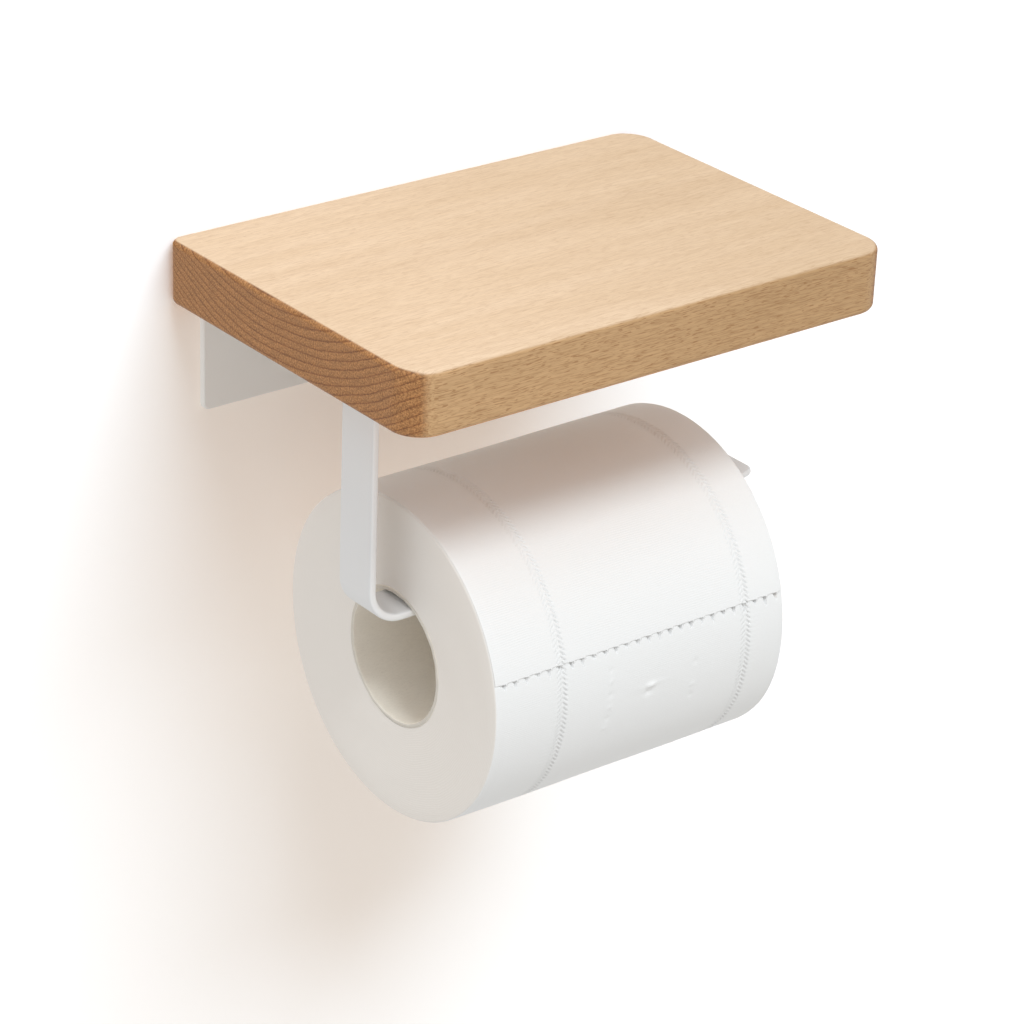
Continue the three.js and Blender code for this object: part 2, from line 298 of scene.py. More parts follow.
class Shader:
    """Builds one procedural material. Places are the object's own, in millimetres."""

    def __init__(self, name):
        self.material = bpy.data.materials.new(name)
        self.material.use_nodes = True
        self.tree = self.material.node_tree
        self.main = self.tree.nodes["Principled BSDF"]
        own = self.tree.nodes.new("ShaderNodeTexCoord")
        self.place = self.vector("MULTIPLY", own.outputs["Object"], (1 / MM,) * 3)
        self.facing = own.outputs["Normal"]

    def feed(self, socket, value):
        if isinstance(value, bpy.types.NodeSocket):
            self.tree.links.new(value, socket)
        else:
            socket.default_value = value

    def add(self, kind, inputs, output=0, **settings):
        node = self.tree.nodes.new(kind)
        for key, value in settings.items():
            setattr(node, key, value)
        for key, value in inputs.items():
            self.feed(node.inputs[key], value)
        return node.outputs[output]

    def math(self, operation, *values):
        return self.add("ShaderNodeMath", dict(enumerate(values)), operation=operation)

    def vector(self, operation, *values):
        return self.add("ShaderNodeVectorMath", dict(enumerate(values)), operation=operation)

    def parts(self, vector):
        node = self.tree.nodes.new("ShaderNodeSeparateXYZ")
        self.tree.links.new(vector, node.inputs[0])
        return node.outputs

    def noise(self, stretch, detail=2.0, rough=0.5, twist=0.0, place=None):
        """Noise whose features are about 1 / stretch millimetres along each axis."""
        place = self.vector("MULTIPLY", place or self.place, stretch)
        inputs = {"Vector": place, "Scale": 1.0, "Detail": detail, "Roughness": rough, "Distortion": twist}
        return self.add("ShaderNodeTexNoise", inputs)

    def ramp(self, value, stops):
        node = self.tree.nodes.new("ShaderNodeValToRGB")
        self.tree.links.new(value, node.inputs[0])
        marks = node.color_ramp.elements
        while len(marks) < len(stops):
            marks.new(1.0)
        for mark, (position, color) in zip(marks, stops):
            mark.position = position
            mark.color = (*color, 1.0) if isinstance(color, tuple) else (color, color, color, 1.0)
        return node.outputs[0]

    def mix(self, share, first, second, blend="MIX"):
        inputs = {0: share, 6: as_color(first), 7: as_color(second)}
        return self.add("ShaderNodeMix", inputs, output=2, data_type="RGBA", blend_type=blend)

    def step(self, value, low, high):
        """0 below low, 1 above high, smooth between."""
        inputs = {0: value, 1: low, 2: high, 3: 0.0, 4: 1.0}
        return self.add("ShaderNodeMapRange", inputs, interpolation_type="SMOOTHSTEP")

    def bump(self, height, distance, strength=1.0):
        """Raises the surface by height times distance, in millimetres."""
        inputs = {"Strength": strength, "Distance": distance * MM, "Height": height}
        node = self.tree.nodes.new("ShaderNodeBump")
        for key, value in inputs.items():
            self.feed(node.inputs[key], value)
        last = self.main.inputs["Normal"].links
        if last:
            self.tree.links.new(last[0].from_socket, node.inputs["Normal"])
        self.tree.links.new(node.outputs[0], self.main.inputs["Normal"])

    def set(self, **inputs):
        for key, value in inputs.items():
            name = key.replace("_", " ")
            self.feed(self.main.inputs[name], as_color(value) if name == "Base Color" else value)
        return self.material


def as_color(value):
    return (*value, 1.0) if isinstance(value, tuple) and len(value) == 3 else value


def make_beech():
    """Beech: rings on the ends, fine straight grain along X, and short dark flecks on the sides. Its top
    is painted lighter with a painted sheen, it is painted darker towards the right end, and its underside
    has a painted warm tint.
    """
    s = Shader("oiled_beech")
    x, y, z = s.parts(s.place)
    end = s.step(s.math("ABSOLUTE", s.parts(s.facing)[0]), 0.30, 0.62)
    # Faces turned up get the top's tones and fainter strands and flecks: painted light and sheen.
    top = s.step(s.parts(s.facing)[2], 0.3, 0.8)

    # The rings lie round a pith above the board, and crowd together towards the back and the front.
    across = s.math("SUBTRACT", y, PITH[0])
    above = s.math("SUBTRACT", z, PITH[1])
    squares = s.math("ADD", s.math("MULTIPLY", across, across), s.math("MULTIPLY", above, above))
    out = s.math("SUBTRACT", s.math("SQRT", squares), FIRST_RING)
    crowd_back = s.math("POWER", s.math("MAXIMUM", s.math("MULTIPLY", across, 0.02), 0.0), 2.0)
    crowd_front = s.math("POWER", s.math("MAXIMUM", s.math("MULTIPLY", across, -0.014), 0.0), 2.0)
    crowd_back = s.math("MULTIPLY_ADD", crowd_back, 0.42, 1.0)
    crowd = s.math("ADD", crowd_back, s.math("MULTIPLY", crowd_front, 0.18))
    slow = s.math("MULTIPLY", s.noise((0.01, 0.03, 0.10), detail=1.0), 2.2)
    count = s.math("MULTIPLY", s.math("DIVIDE", s.math("ADD", out, slow), RING_WIDTH), crowd)
    ring = s.math("FRACT", s.math("ADD", count, s.math("MULTIPLY", s.noise((0.05, 0.6, 0.6)), 0.12)))
    stops = [
        (0.0, (0.92, 0.90, 0.88)), (0.10, 1.0), (0.50, 0.97), (0.76, (0.90, 0.86, 0.82)),
        (0.86, (0.66, 0.57, 0.49)), (0.93, (0.56, 0.46, 0.38)), (1.0, (0.92, 0.90, 0.88)),
    ]
    rings = s.ramp(ring, stops)

    pores = s.noise((1.2, 1.9, 1.9), detail=2.0, rough=0.75)
    ray_way = s.vector("MULTIPLY", s.place, (0.4, 3.0, 0.25))
    rays = s.add("ShaderNodeTexNoise", {"Vector": ray_way, "Scale": 1.0, "Detail": 2.0})
    end_light = s.mix(s.step(pores, 0.34, 0.66), END_DARK, END_LIGHT)
    end_light = s.mix(s.math("MULTIPLY", s.step(rays, 0.56, 0.74), 0.22), end_light, END_RAY)
    end_color = s.mix(1.0, end_light, rings, "MULTIPLY")
    streak_inputs = {0: s.math("MULTIPLY", count, 4.5), 1: s.math("MULTIPLY", y, 0.3), 2: x}
    streaks = s.noise((1.0, 1.0, 0.2), detail=1.5, place=s.add("ShaderNodeCombineXYZ", streak_inputs))
    end_color = s.mix(0.8, end_color, s.ramp(streaks, [(0.32, 0.86), (0.66, 1.10)]), "MULTIPLY")

    wave = s.math("MULTIPLY", s.noise((0.07, 0.25, 0.25), detail=1.0), 1.4)
    shifted = s.vector("ADD", s.place, s.add("ShaderNodeCombineXYZ", {1: wave, 2: wave}))
    fibre = s.noise((0.13, 3.3, 3.3), detail=1.5, rough=0.7, place=shifted)
    tone = s.noise((0.015, 0.14, 0.14), detail=2.0)
    side_color = s.mix(s.step(tone, 0.3, 0.7), *SIDE_TONES)
    lit_top_color = s.mix(s.step(tone, 0.3, 0.7), *LIT_TOP_TONES)
    face_color = s.mix(top, side_color, lit_top_color)
    strands = s.ramp(fibre, [(0.34, (0.77, 0.69, 0.60)), (0.50, (0.98, 0.97, 0.96)), (0.64, 1.10)])
    face_color = s.mix(s.math("MULTIPLY_ADD", top, -0.32, 0.80), face_color, strands, "MULTIPLY")
    face_color = s.mix(0.06, face_color, rings, "MULTIPLY")
    # Painted warm tint on the faces turned down.
    under = s.step(s.parts(s.facing)[2], -0.3, -0.8)
    face_color = s.mix(under, face_color, s.mix(1.0, face_color, UNDERSIDE_PAINTED_WARMTH, "MULTIPLY"))
    # Painted shade: the colour darkens towards the right end.
    painted_shade_rightwards = s.step(x, -95.0, 95.0)
    face_color = s.mix(painted_shade_rightwards, face_color, s.mix(1.0, face_color, RIGHT_END_PAINTED_SHADE, "MULTIPLY"))

    spots = s.noise((0.36, 3.7, 3.7), detail=0.0, place=shifted)
    flecks = s.step(spots, 0.64, 0.70)
    fleck_share = s.math("MULTIPLY", flecks, s.math("MULTIPLY_ADD", top, -0.44, 0.62))
    face_color = s.mix(fleck_share, face_color, FLECK)

    s.bump(fibre, 0.05, 0.3)
    s.bump(pores, 0.05, 0.3)
    rough = s.math("MULTIPLY_ADD", fibre, 0.18, 0.40)
    return s.set(Base_Color=s.mix(end, face_color, end_color), Roughness=rough)


def make_coat(name, tones, front_painted_light=(1.0, 1.0, 1.0)):
    """Satin powder coat: a very fine orange peel and a faint unevenness. Faces turned to the front can be
    painted lighter, as painted light.
    """
    s = Shader(name)
    peel = s.noise((1.6, 1.6, 1.6), detail=2.0)
    cloud = s.noise((0.05, 0.05, 0.05), detail=2.0)
    color = s.mix(cloud, *tones)
    # Painted light: faces turned to the front are made lighter.
    front = s.step(s.math("MULTIPLY", s.parts(s.facing)[1], -1.0), 0.4, 0.9)
    color = s.mix(front, color, s.mix(1.0, color, front_painted_light, "MULTIPLY"))
    s.bump(peel, 0.03, 0.25)
    rough = s.math("MULTIPLY_ADD", peel, 0.12, 0.36)
    return s.set(Base_Color=color, Roughness=rough)


def make_zinc():
    s = Shader("bright_zinc")
    tint = s.noise((0.6, 0.6, 0.6), detail=3.0)
    scuff = s.noise((3.0, 3.0, 9.0), detail=4.0, rough=0.7)
    color = s.mix(tint, (0.56, 0.57, 0.58), (0.68, 0.68, 0.66))
    s.bump(scuff, 0.02, 0.3)
    rough = s.math("MULTIPLY_ADD", scuff, 0.25, 0.22)
    return s.set(Base_Color=color, Roughness=rough, Metallic=1.0)


def make_nylon():
    s = Shader("moulded_nylon")
    grain = s.noise((2.0, 2.0, 2.0), detail=3.0)
    color = s.mix(grain, (0.50, 0.52, 0.55), (0.58, 0.60, 0.63))
    s.bump(grain, 0.03, 0.3)
    rough = s.math("MULTIPLY_ADD", grain, 0.15, 0.42)
    return s.set(Base_Color=color, Roughness=rough)


def make_greyboard():
    """Recycled board: mottled, with specks and short fibres."""
    s = Shader("greyboard")
    mottle = s.noise((0.12, 0.2, 0.2), detail=4.0, rough=0.6)
    fibre = s.noise((0.7, 2.4, 2.4), detail=3.0, rough=0.7, twist=0.6)
    specks = s.noise((2.2, 2.2, 2.2), detail=1.0)
    color = s.mix(mottle, *CARD_TONES)
    color = s.mix(0.25, color, s.ramp(fibre, [(0.3, 0.78), (0.6, 1.0)]), "MULTIPLY")
    color = s.mix(s.math("MULTIPLY", s.step(specks, 0.70, 0.78), 0.2), color, (0.30, 0.24, 0.18))
    rim = s.step(s.math("ABSOLUTE", s.parts(s.facing)[0]), 0.5, 0.9)
    color = s.mix(rim, color, CARD_RIM)
    s.bump(fibre, 0.06, 0.4)
    return s.set(Base_Color=color, Roughness=s.math("MULTIPLY_ADD", fibre, 0.1, 0.82))


def make_tissue():
    """Soft tissue. Creping lines run along the roll; its ends show the edges of the wound layers."""
    s = Shader("tissue")
    x, y, z = s.parts(s.place)
    end = s.step(s.math("ABSOLUTE", s.parts(s.facing)[0]), 0.5, 0.9)
    end = s.math("MULTIPLY", end, s.step(s.math("ABSOLUTE", x), 52.0, 53.5))
    radius = s.math("SQRT", s.math("ADD", s.math("MULTIPLY", y, y), s.math("MULTIPLY", z, z)))
    angle = s.math("ARCTAN2", y, z)
    drift = s.noise((0.05, 0.12, 0.12), detail=3.0)
    wave = s.math("MULTIPLY_ADD", angle, 460.0, s.math("MULTIPLY", drift, 12.0))
    crepe = s.math("MULTIPLY_ADD", s.math("SINE", wave), 0.5, 0.5)
    strength = s.noise((0.08, 0.3, 0.3), detail=2.0)
    crepe = s.math("MULTIPLY", s.math("MULTIPLY", crepe, strength), s.math("SUBTRACT", 1.0, end))
    fuzz = s.noise((2.4, 2.4, 2.4), detail=3.0, rough=0.7)
    coil = s.math("ADD", s.math("MULTIPLY", radius, 1.0), s.math("DIVIDE", angle, 2 * math.pi))
    wobble = s.math("MULTIPLY", s.noise((0.1, 0.06, 0.06), detail=2.0), 3.0)
    layer = s.math("SINE", s.math("MULTIPLY", s.math("ADD", coil, wobble), 2 * math.pi * 1.4))
    layers = s.math("MULTIPLY", s.math("MULTIPLY_ADD", layer, 0.5, 0.5), end)
    color = s.mix(fuzz, *TISSUE_TONES)
    color = s.mix(end, color, s.mix(s.math("MULTIPLY", layers, 0.12), TISSUE_END, (0.68, 0.65, 0.61)))
    s.bump(crepe, 0.10, 0.35)
    s.bump(layers, 0.10, 0.12)
    s.bump(fuzz, 0.05, 0.3)
    return s.set(Base_Color=color, Roughness=s.math("MULTIPLY_ADD", fuzz, 0.08, 0.88), Sheen_Weight=0.1)


# ---- the holder's pieces ----

def screw_places(prefix):
    """Each CAD screw or plug whose name starts so: its name and the two corners of its box."""
    return [(name, *box_mm(name)) for name in sorted(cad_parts) if name.startswith(prefix)]


def make_shelf(beech):
    low, high = box_mm("shelf")
    holes = [
        ((lo[0] + hi[0]) / 2, (lo[1] + hi[1]) / 2, PILOT_RADIUS)
        for _, lo, hi in screw_places("bracket_screw") + screw_places("arm_screw")
    ]
    mesh = slab(
        "oiled_board",
        lambda inset: rounded_outline(low[:2], high[:2], SHELF_CORNERS, inset, steps=20),
        low[2], high[2], SHELF_EDGE, holes, PILOT_DEPTH, edge_steps=8,
    )
    mesh.transform(Matrix.Scale(MM, 4))
    board = bpy.data.objects.new("oiled_board", mesh)
    bpy.context.scene.collection.objects.link(board)
    tidy(board)
    mesh.materials.append(beech)
    smooth(board)
    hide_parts("shelf")
    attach(board, "holder")


def make_bracket(coat):
    """The blank runs up the wall flange and then out under the shelf."""
    low, high = box_mm("wall_bracket")
    middle = BRACKET_BEND - STEEL / 2
    up, out = high[2] - low[2] - BRACKET_BEND, high[1] - low[1] - BRACKET_BEND
    arc_length = middle * math.pi / 2
    total = up + arc_length + out
    wall_holes = [
        ((lo[2] + hi[2]) / 2 - low[2], (lo[0] + hi[0]) / 2, WALL_HOLE)
        for _, lo, hi in screw_places("wall_screw")
    ]
    flange_start = up + arc_length + high[1] - BRACKET_BEND
    flange_holes = [
        (flange_start - (lo[1] + hi[1]) / 2, (lo[0] + hi[0]) / 2, SCREW_HOLE)
        for _, lo, hi in screw_places("bracket_screw")
    ]
    corners = (BRACKET_CORNER,) * 4
    blank = slab(
        "bracket_sheet",
        lambda inset: rounded_outline((0, low[0]), (total, high[0]), corners, inset, steps=8),
        0, STEEL, BRACKET_EDGE, wall_holes + flange_holes, edge_steps=3,
    )
    moves = [{"length": up}, {"radius": middle, "turn": 90}, {"length": out}]
    start = (high[1] - STEEL / 2, low[2])
    points, faces = bend(blank, moves, start, 90, lambda a, b, across: (across, a, b), STEEL)
    finish_piece(piece_from("bracket_sheet", points, faces, material=coat), "wall_bracket", "white_coat")


def make_arm(coat):
    """One strip: a foot under the shelf, a drop, a level run and a turned-up end."""
    low, high = box_mm("roll_arm")
    foot_end = max(
        v.co.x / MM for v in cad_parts["roll_arm"].data.vertices if v.co.z / MM > high[2] - 0.5
    )
    middle = ARM_BEND - STEEL / 2
    up, lip = math.radians(TIP_SLOPE), math.radians(LIP_SLOPE)
    foot = foot_end - low[0] - ARM_BEND
    drop = high[2] - low[2] - 2 * ARM_BEND
    # Along the strip's upper face: the bend up, the slope, the bend back and the lip.
    back = LIP_BEND + STEEL
    rise = TIP_BEND * (1 - math.cos(up)) + back * (math.cos(lip) - math.cos(up))
    rise += LIP_LENGTH * math.sin(lip)
    reach = TIP_BEND * math.sin(up) + back * (math.sin(up) - math.sin(lip))
    reach += LIP_LENGTH * math.cos(lip)
    slope = (tip_height() - (low[2] + STEEL) - rise) / math.sin(up)
    run = high[0] - reach - slope * math.cos(up) - low[0] - ARM_BEND
    moves = [
        {"length": foot},
        {"radius": middle, "turn": 90},
        {"length": drop},
        {"radius": middle, "turn": 90},
        {"length": run},
        {"radius": TIP_BEND + STEEL / 2, "turn": TIP_SLOPE},
        {"length": slope},
        {"radius": LIP_BEND + STEEL / 2, "turn": LIP_SLOPE - TIP_SLOPE},
        {"length": LIP_LENGTH},
    ]
    straights = sum(move.get("length", 0) for move in moves)
    bends = sum(move["radius"] * abs(math.radians(move["turn"])) for move in moves if "turn" in move)
    total = straights + bends
    holes = [
        (foot_end - (lo[0] + hi[0]) / 2, (lo[1] + hi[1]) / 2, SCREW_HOLE)
        for _, lo, hi in screw_places("arm_screw")
    ]
    corners = (ARM_FOOT_CORNER, TIP_CORNER, TIP_CORNER, ARM_FOOT_CORNER)
    blank = slab(
        "arm_strip",
        lambda inset: rounded_outline((0, low[1]), (total, high[1]), corners, inset, steps=10),
        0, STEEL, ARM_EDGE, holes, edge_steps=4,
    )
    start = (foot_end, high[2] - STEEL / 2)
    points, faces = bend(blank, moves, start, 180, lambda a, b, across: (a, across, b), STEEL)
    finish_piece(piece_from("arm_strip", points, faces, material=coat), "roll_arm", "white_coat")


def tip_height():
    """How high the arm's turned-up end stands."""
    right = box_mm("roll_arm")[1][0]
    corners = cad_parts["roll_arm"].data.vertices
    return max(v.co.z / MM for v in corners if v.co.x / MM > right - LIP_LENGTH - 1)


def finish_piece(piece, node, slot, body="holder", **shading):
    smooth(piece, **shading)
    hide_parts(node)
    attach(piece, body)


def turned_points(profile, steps):
    """A body of revolution about +Z: profile(angle) gives its [radius, z] points at that angle."""
    angles = np.linspace(0, 2 * math.pi, steps, endpoint=False)
    rows = []
    for angle in angles:
        radius, z = profile(angle)
        rows.append(np.stack([radius * math.cos(angle), radius * math.sin(angle), z], -1))
    return np.concatenate(rows), len(rows[0])


def screw_profile(head_radius, head_height, shank_radius, length, pitch):
    """A domed head under the seat at z = 0, and a threaded shank that tapers to a point."""
    dome = np.linspace(0, math.pi / 2, 9)
    head_r = head_radius * np.sin(dome) ** 0.75
    head_z = -head_height * (0.25 + 0.75 * np.cos(dome))
    head_r = np.append(head_r, [head_radius, head_radius * 0.97])
    head_z = np.append(head_z, [-head_height * 0.08, 0.0])
    root = shank_radius * 0.68
    plain = 1.2
    z = np.arange(plain, length, pitch / 8)
    taper = np.clip((length - z) / (3.2 * shank_radius), 0, 1) ** 0.8

    def profile(angle):
        phase = (z / pitch - angle / (2 * math.pi)) % 1
        ridge = np.clip(1 - np.abs(phase - 0.5) * 3.4, 0, 1)
        grown = np.clip((z - plain) / pitch, 0, 1)
        radius = (root + (shank_radius - root) * ridge * grown) * taper
        radius = np.concatenate([head_r, [shank_radius * 0.85, shank_radius * 0.85], radius, [0]])
        return radius, np.concatenate([head_z, [0.0, plain * 0.8], z, [length]])

    return profile


# Of a blade whose points are its first end's corners and then its second end's, in the same order.
BLADE_FACES = [(0, 1, 2, 3), (7, 6, 5, 4), (0, 4, 5, 1), (1, 5, 6, 2), (2, 6, 7, 3), (3, 7, 4, 0)]


def cross_cutters(width, reach, depth, z):
    """Two tapered blades that cut a cross recess into a head whose crown is at z."""
    blades = []
    for turn in (0, math.pi / 2):
        points = []
        for height, share in ((z - 1, 1.0), (z + depth, 0.45)):
            for a, b in ((-1, -1), (1, -1), (1, 1), (-1, 1)):
                local = Vector((a * reach * share, b * width / 2 * (0.6 + 0.4 * share), height))
                points.append(Matrix.Rotation(turn, 3, "Z") @ local)
        blades.append(piece_from(f"blade_{turn:.0f}", points, BLADE_FACES))
    return blades


def make_screws(prefix, zinc, pitch, towards, steps=30):
    """One threaded screw mesh, set at each CAD screw with its recess turned a little differently."""
    turns = random.Random(prefix)
    axis = 2 if towards == "up" else 1
    mesh = None
    for name, low, high in screw_places(prefix):
        centre = (low + high) / 2
        length = high[axis] - low[axis]
        head_radius = (high[0] - low[0]) / 2
        head_height = head_radius * 0.66
        if mesh is None:
            shank = (head_radius * 0.47, length - head_height)
            profile = screw_profile(head_radius, head_height, *shank, pitch)
            points, columns = turned_points(profile, steps)
            blank = piece_from(name + "_threaded", points, grid_faces(steps, columns, wrap_rows=True))
            subtract(blank, cross_cutters(0.9, head_radius * 0.56, 1.5, -head_height))
            mesh = blank.data
            mesh.materials.append(zinc)
            piece = blank
        else:
            piece = bpy.data.objects.new(name + "_threaded", mesh)
            bpy.context.scene.collection.objects.link(piece)
        spin = Matrix.Rotation(turns.uniform(0, math.pi / 2), 4, "Z")
        seat = centre.copy()
        seat[axis] = low[axis] + head_height
        aim = Matrix.Identity(4) if axis == 2 else Matrix.Rotation(-math.pi / 2, 4, "X")
        piece.matrix_world = Matrix.Translation(Vector(seat) * MM) @ aim @ spin
        finish_piece(piece, name, "zinc_screw", sharp_above=40.0)


def make_plugs(nylon, steps=40):
    """A ribbed nylon plug, split at its tip."""
    for name, low, high in screw_places("wall_plug"):
        length = high[1] - low[1]
        rim = (high[0] - low[0]) / 2
        body, bore = rim - 0.4, 2.4
        toothed, tip = np.arange(2, length * 0.8, 0.25), np.linspace(length * 0.82, length, 6)
        z = np.concatenate([[0, 0.8, 0.81], toothed, tip])
        outer = np.where(z <= 0.8, rim, body)
        teeth = (z > 4) & (z < length * 0.8)
        outer = outer - np.where(teeth, 0.45 * ((z / 2.2) % 1), 0)
        outer = outer - np.clip((z - length * 0.8) / (length * 0.2), 0, 1) * 0.7

        def profile(angle):
            radius = np.concatenate([[bore], outer, [bore]])
            return radius, np.concatenate([[0], z, [length]])

        points, columns = turned_points(profile, steps)
        faces = grid_faces(steps, columns, wrap_rows=True, wrap_columns=True)
        plug = piece_from(name + "_ribbed", points, faces)
        subtract(plug, slot_cutters(rim, length))
        plug.data.materials.append(nylon)
        centre = (low + high) / 2
        at = Vector((centre[0], low[1], centre[2])) * MM
        plug.matrix_world = Matrix.Translation(at) @ Matrix.Rotation(-math.pi / 2, 4, "X")
        finish_piece(plug, name, "nylon_plug")


def slot_cutters(rim, length):
    """A blade that splits the plug lengthwise behind its collar."""
    points = []
    for z in (length * 0.25, length + 1):
        points += [(-rim - 1, -0.5, z), (rim + 1, -0.5, z), (rim + 1, 0.5, z), (-rim - 1, 0.5, z)]
    return [piece_from("slot", points, BLADE_FACES)]


# ---- the roll's pieces ----

def round_roll(x, radius, angle):
    """Points round the roll's axis: angle runs from the top over the front."""
    return np.stack([x, -radius * np.sin(angle), radius * np.cos(angle)], -1)


def band_emboss(x, arc_length, left, right):
    """Two herringbone bands pressed into the paper: how deep, at each place."""
    depth = 0
    for centre in (left + BAND_FROM_ENDS[0], right - BAND_FROM_ENDS[1]):
        off = np.abs(x - centre)
        dash = 2.2 * np.cos(2 * math.pi * (arc_length - 1.05 * off) / BAND_PITCH) - 0.9
        window = np.clip((BAND_HALF_WIDTH - off) / 0.35, 0, 1) * np.clip((off - 0.05) / 0.3, 0.2, 1)
        window = window * np.where(x < centre, 0.6, 1.0)
        depth = depth + BAND_DEPTH * np.clip(dash, 0, 1) * window
    return depth


def make_bonds(centre):
    """Along each tear line: where a bond is, how far and how deep the paper dips on its left."""
    low, high = box_mm("tail_sheet")
    left, right = low[0] - centre[0], high[0] - centre[0]
    draw = random.Random(7)
    bonds = []
    for i in range(round((right - left) / BOND_PITCH)):
        at = left + (i + 0.93 + draw.uniform(-0.03, 0.03)) * BOND_PITCH
        if at < right - 1:
            bonds.append((at, draw.uniform(2.0, 4.0), draw.uniform(1.0, 1.7)))
    return bonds


def left_of_bond(x, at, width):
    """Nearly 1 close to a bond's left side, falling to 0 over the width; 0 at the bond itself."""
    off = at - BOND_HALF_WIDTH - x
    return np.clip(off / 0.3, 0, 1) * np.clip(1 - off / width, 0, 1)


def in_bond(x, at):
    return np.abs(x - at) < BOND_HALF_WIDTH + 0.02


def tear_dents(x, past_tear, bonds):
    """How far the paper lies in just past its tear line: a wedge on the left of each bond."""
    depth = 0 * x
    for at, reach, deep in bonds:
        width = 1.8 * np.clip(1 - past_tear / reach, 0.03, 1)
        depth = depth + deep * left_of_bond(x, at, width)
    return depth * np.clip((past_tear + 0.5) / 0.3, 0, 1)


def with_more(columns, extra):
    """Columns with extra ones between them, none nearer than an eighth of a millimetre."""
    kept = list(columns)
    for place in sorted(extra):
        if columns[0] < place < columns[-1] and min(abs(place - x) for x in kept) > 0.125:
            kept.append(place)
    return np.array(sorted(kept))


def woven(kinds, columns, wrap_rows=False, wrap_columns=False):
    """Faces over rows of points numbered row by row, where some rows have more points.

    kinds gives each row's kind and columns the places of a kind's points; the first kind's places
    are in every kind, and two rows of different kinds are joined at those."""
    shared = [np.searchsorted(places, columns[0]).tolist() for places in columns]
    every = [list(range(len(places))) for places in columns]
    starts = np.concatenate([[0], np.cumsum([len(columns[kind]) for kind in kinds])]).tolist()
    faces = []
    for row in range(len(kinds) - (0 if wrap_rows else 1)):
        after = (row + 1) % len(kinds)
        source = every if kinds[row] == kinds[after] else shared
        first, second = source[kinds[row]], source[kinds[after]]
        for i in range(len(first) - 1):
            near = [starts[row] + j for j in range(first[i], first[i + 1] + 1)]
            far = [starts[after] + j for j in range(second[i], second[i + 1] + 1)]
            faces.append(near + far[::-1])
        if wrap_columns:
            near = [starts[row] + first[-1], starts[row] + first[0]]
            far = [starts[after] + second[0], starts[after] + second[-1]]
            faces.append(near + far)
    return faces


def bulge(angle, middle, width):
    """1 at the middle angle, falling to 0 over the width, in degrees."""
    off = (np.degrees(angle) - middle + 180) % 360 - 180
    return np.exp(-((off / width) ** 2))


def swell(x, angle):
    """The loose outer layers' unevenness: each end is fuller in places, more so the right one."""
    share = (x + 55) / 110
    slow = 0.10 * np.sin(3 * angle - 0.031 * x) + 0.06 * np.sin(0.11 * x + 2.0 * angle)
    left_end = 1.3 * bulge(angle, -55, 32)
    right_end = 0.95 * bulge(angle, -5, 60) + 1.35 * bulge(angle, 125, 26)
    return slow + (1 - share) * left_end + share * right_end


def band_columns(left, right, coarse, fine):
    """Places across the roll, close together where the bands are."""
    marks = [left]
    for centre in (left + BAND_FROM_ENDS[0], right - BAND_FROM_ENDS[1]):
        marks += [centre - BAND_HALF_WIDTH - 0.9, centre + BAND_HALF_WIDTH + 0.9]
    marks.append(right)
    places = []
    for i, (a, b) in enumerate(zip(marks, marks[1:])):
        gap = fine if i % 2 else coarse
        places.append(np.linspace(a, b, max(2, round((b - a) / gap)), endpoint=False))
    return np.append(np.concatenate(places), right)


# Small marks pressed into each sheet: x, distance past its tear line, size along x and round, height.
MOTIF = [
    (-12.0, 6.9, 0.9, 0.9, -0.20), (-12.1, 10.6, 0.8, 0.9, 0.19), (-12.2, 15.1, 1.0, 1.0, -0.22),
    (-12.2, 19.3, 0.8, 0.9, 0.19), (-12.5, 23.4, 1.0, 1.0, -0.22), (-12.8, 27.0, 0.9, 0.9, 0.19),
    (3.6, 16.3, 1.8, 0.9, 0.68), (2.8, 18.8, 1.6, 1.1, -0.45),
    (20.6, 13.6, 0.9, 1.0, -0.20), (19.9, 21.4, 0.9, 0.9, 0.19), (20.4, 25.6, 0.9, 1.0, -0.20),
]


def motif(x, past_tear):
    height = 0
    for at, along_roll, wide, long, lift in MOTIF:
        height = height + lift * np.exp(-(((x - at) / wide) ** 2) - ((past_tear - along_roll) / long) ** 2)
    return height


